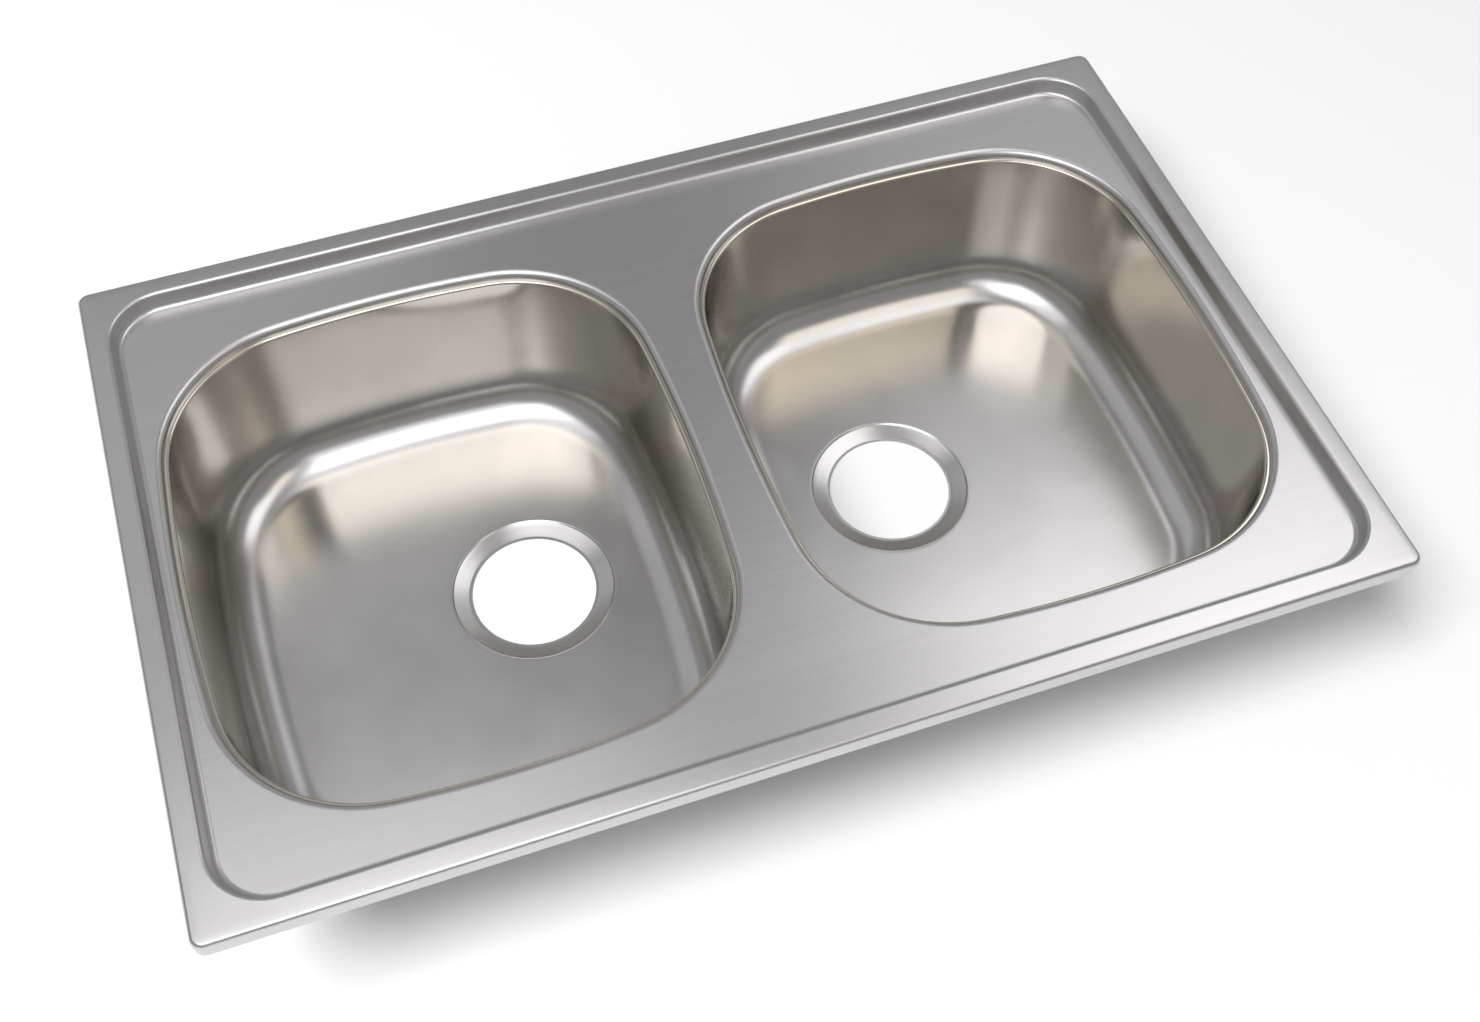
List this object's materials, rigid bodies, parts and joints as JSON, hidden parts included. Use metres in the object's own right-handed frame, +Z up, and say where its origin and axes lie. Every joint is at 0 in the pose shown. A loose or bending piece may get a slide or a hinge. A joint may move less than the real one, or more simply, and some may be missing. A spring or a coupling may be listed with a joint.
{
  "type": "double bowl kitchen sink",
  "caption": "Inset double bowl kitchen sink in pressed stainless steel, with a raised rim, recessed deck, round drain holes and swing-out clamps under the rim.",
  "frame": {"origin": "under the middle of the rim, on the plane of the drain recesses' undersides", "axes": "+X along the sink's length, +Y towards its back edge, +Z up"},
  "size_m": [0.78, 0.5, 0.1533],
  "materials": {
    "deck_steel": "satin stainless steel sheet, cool grey",
    "bowl_steel": "drawn stainless steel, smooth satin",
    "bracket_steel": "mill-finish stainless strip",
    "clamp_steel": "bright zinc plated steel",
    "damping_pad": "matt damping sheet",
    "seal_foam": "closed-cell foam strip"
  },
  "bodies": {
    "sink": {"deck_panel": "deck_steel", "left_bowl": "bowl_steel", "right_bowl": "bowl_steel", "left_sound_pad": "damping_pad", "right_sound_pad": "damping_pad", "rim_seal": "seal_foam", "weld_nuts": "clamp_steel", "bracket_front_left": "bracket_steel", "bracket_front_right": "bracket_steel", "bracket_right_front": "bracket_steel", "bracket_right_back": "bracket_steel", "bracket_back_right": "bracket_steel", "bracket_back_left": "bracket_steel", "bracket_left_back": "bracket_steel", "bracket_left_front": "bracket_steel"},
    "clamp_screw_front_left": {"screw_front_left": "clamp_steel", "ring_front_left": "clamp_steel"},
    "clamp_claw_front_left": {"claw_front_left": "clamp_steel"},
    "clamp_screw_front_right": {"screw_front_right": "clamp_steel", "ring_front_right": "clamp_steel"},
    "clamp_claw_front_right": {"claw_front_right": "clamp_steel"},
    "clamp_screw_right_front": {"screw_right_front": "clamp_steel", "ring_right_front": "clamp_steel"},
    "clamp_claw_right_front": {"claw_right_front": "clamp_steel"},
    "clamp_screw_right_back": {"screw_right_back": "clamp_steel", "ring_right_back": "clamp_steel"},
    "clamp_claw_right_back": {"claw_right_back": "clamp_steel"},
    "clamp_screw_back_right": {"screw_back_right": "clamp_steel", "ring_back_right": "clamp_steel"},
    "clamp_claw_back_right": {"claw_back_right": "clamp_steel"},
    "clamp_screw_back_left": {"screw_back_left": "clamp_steel", "ring_back_left": "clamp_steel"},
    "clamp_claw_back_left": {"claw_back_left": "clamp_steel"},
    "clamp_screw_left_back": {"screw_left_back": "clamp_steel", "ring_left_back": "clamp_steel"},
    "clamp_claw_left_back": {"claw_left_back": "clamp_steel"},
    "clamp_screw_left_front": {"screw_left_front": "clamp_steel", "ring_left_front": "clamp_steel"},
    "clamp_claw_left_front": {"claw_left_front": "clamp_steel"}
  },
  "joints": [
    {"name": "travel_front_left", "type": "slide", "parent": "sink", "child": "clamp_screw_front_left", "axis": [0, 0, 1], "range_m": [0, 0.014]},
    {"name": "travel_front_right", "type": "slide", "parent": "sink", "child": "clamp_screw_front_right", "axis": [0, 0, 1], "range_m": [0, 0.014]},
    {"name": "travel_right_front", "type": "slide", "parent": "sink", "child": "clamp_screw_right_front", "axis": [0, 0, 1], "range_m": [0, 0.014]},
    {"name": "travel_right_back", "type": "slide", "parent": "sink", "child": "clamp_screw_right_back", "axis": [0, 0, 1], "range_m": [0, 0.014]},
    {"name": "travel_back_right", "type": "slide", "parent": "sink", "child": "clamp_screw_back_right", "axis": [0, 0, 1], "range_m": [0, 0.014]},
    {"name": "travel_back_left", "type": "slide", "parent": "sink", "child": "clamp_screw_back_left", "axis": [0, 0, 1], "range_m": [0, 0.014]},
    {"name": "travel_left_back", "type": "slide", "parent": "sink", "child": "clamp_screw_left_back", "axis": [0, 0, 1], "range_m": [0, 0.014]},
    {"name": "travel_left_front", "type": "slide", "parent": "sink", "child": "clamp_screw_left_front", "axis": [0, 0, 1], "range_m": [0, 0.014]},
    {"name": "swing_front_left", "type": "hinge", "parent": "clamp_screw_front_left", "child": "clamp_claw_front_left", "pos_m": [-0.15001, -0.2155, 0.088], "axis": [0, 0, -1], "range_deg": [0, 90]},
    {"name": "swing_front_right", "type": "hinge", "parent": "clamp_screw_front_right", "child": "clamp_claw_front_right", "pos_m": [0.15001, -0.2155, 0.088], "axis": [0, 0, 1], "range_deg": [0, 90]},
    {"name": "swing_right_front", "type": "hinge", "parent": "clamp_screw_right_front", "child": "clamp_claw_right_front", "pos_m": [0.3555, -0.17193, 0.088], "axis": [0, 0, 1], "range_deg": [0, 90]},
    {"name": "swing_right_back", "type": "hinge", "parent": "clamp_screw_right_back", "child": "clamp_claw_right_back", "pos_m": [0.3555, 0.16593, 0.088], "axis": [0, 0, -1], "range_deg": [0, 90]},
    {"name": "swing_back_right", "type": "hinge", "parent": "clamp_screw_back_right", "child": "clamp_claw_back_right", "pos_m": [0.15001, 0.2155, 0.088], "axis": [0, 0, -1], "range_deg": [0, 90]},
    {"name": "swing_back_left", "type": "hinge", "parent": "clamp_screw_back_left", "child": "clamp_claw_back_left", "pos_m": [-0.15001, 0.2155, 0.088], "axis": [0, 0, 1], "range_deg": [0, 90]},
    {"name": "swing_left_back", "type": "hinge", "parent": "clamp_screw_left_back", "child": "clamp_claw_left_back", "pos_m": [-0.3555, 0.16593, 0.088], "axis": [0, 0, 1], "range_deg": [0, 90]},
    {"name": "swing_left_front", "type": "hinge", "parent": "clamp_screw_left_front", "child": "clamp_claw_left_front", "pos_m": [-0.3555, -0.17193, 0.088], "axis": [0, 0, -1], "range_deg": [0, 90]}
  ]
}
